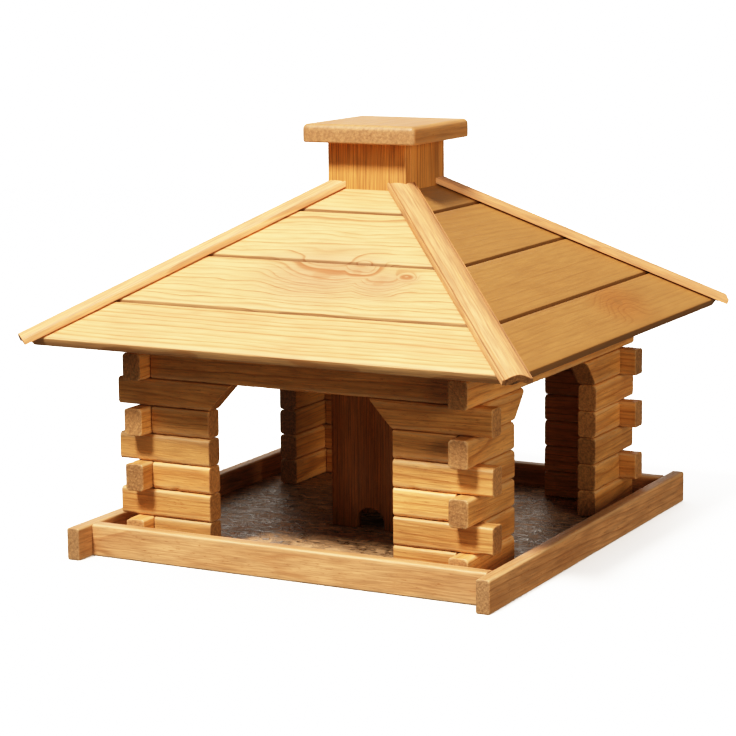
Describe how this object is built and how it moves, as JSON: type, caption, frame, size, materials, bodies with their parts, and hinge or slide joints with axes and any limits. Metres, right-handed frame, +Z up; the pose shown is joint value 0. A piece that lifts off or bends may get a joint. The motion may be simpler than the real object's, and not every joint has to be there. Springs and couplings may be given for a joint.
{
  "type": "bird feeder",
  "caption": "Bird feeder house: a railed tray, corner posts of stacked strips, a planked pyramid roof and a central seed column with a lift-off cap.",
  "frame": {"origin": "centre of the tray's underside, on the surface that the feeder stands on", "axes": "+Z up, -Y towards the front, where the tray's cross rail stands between the side rails; +X to the right, seen from the front"},
  "size_m": [0.476, 0.476, 0.3633],
  "materials": {
    "log_wood": "planed softwood strips, clear honey stain, satin",
    "rail_wood": "planed softwood, clear honey stain, satin",
    "floor_sheet": "thin plywood sheet, weathered grey brown, matt",
    "column_wood": "planed softwood boards, honey stain, satin",
    "plate_wood": "sawn softwood, unfinished, matt",
    "roof_wood": "planed softwood cladding, honey stain, satin",
    "hip_wood": "planed softwood strip with soft edges, honey stain, satin",
    "cap_wood": "planed softwood board, honey stain, satin"
  },
  "bodies": {
    "house": {"floor_board": "floor_sheet", "rail_left": "rail_wood", "rail_right": "rail_wood", "rail_front": "rail_wood", "rail_back": "rail_wood", "post_front_left_course_1": "log_wood", "post_front_left_course_2": "log_wood", "post_front_left_course_3": "log_wood", "post_front_left_course_4": "log_wood", "post_front_left_course_5": "log_wood", "post_front_left_course_6": "log_wood", "post_front_right_course_1": "log_wood", "post_front_right_course_2": "log_wood", "post_front_right_course_3": "log_wood", "post_front_right_course_4": "log_wood", "post_front_right_course_5": "log_wood", "post_front_right_course_6": "log_wood", "post_back_left_course_1": "log_wood", "post_back_left_course_2": "log_wood", "post_back_left_course_3": "log_wood", "post_back_left_course_4": "log_wood", "post_back_left_course_5": "log_wood", "post_back_left_course_6": "log_wood", "post_back_right_course_1": "log_wood", "post_back_right_course_2": "log_wood", "post_back_right_course_3": "log_wood", "post_back_right_course_4": "log_wood", "post_back_right_course_5": "log_wood", "post_back_right_course_6": "log_wood", "beam_left": "log_wood", "beam_right": "log_wood", "beam_front": "log_wood", "beam_back": "log_wood", "silo_board_front": "column_wood", "silo_board_back": "column_wood", "silo_board_left": "column_wood", "silo_board_right": "column_wood", "hip_plate_front_right": "plate_wood", "hip_plate_back_right": "plate_wood", "hip_plate_back_left": "plate_wood", "hip_plate_front_left": "plate_wood", "roof_front_board_1": "roof_wood", "roof_front_board_2": "roof_wood", "roof_front_board_3": "roof_wood", "roof_right_board_1": "roof_wood", "roof_right_board_2": "roof_wood", "roof_right_board_3": "roof_wood", "roof_back_board_1": "roof_wood", "roof_back_board_2": "roof_wood", "roof_back_board_3": "roof_wood", "roof_left_board_1": "roof_wood", "roof_left_board_2": "roof_wood", "roof_left_board_3": "roof_wood", "roof_top_boards": "roof_wood", "hip_strip_front_right": "hip_wood", "hip_strip_back_right": "hip_wood", "hip_strip_back_left": "hip_wood", "hip_strip_front_left": "hip_wood"},
    "cap": {"cap_board": "cap_wood", "cap_block": "plate_wood"}
  },
  "joints": [
    {"name": "cap_lift", "type": "slide", "parent": "house", "child": "cap", "axis": [0, 0, 1], "range_m": [0, 0.06]}
  ]
}
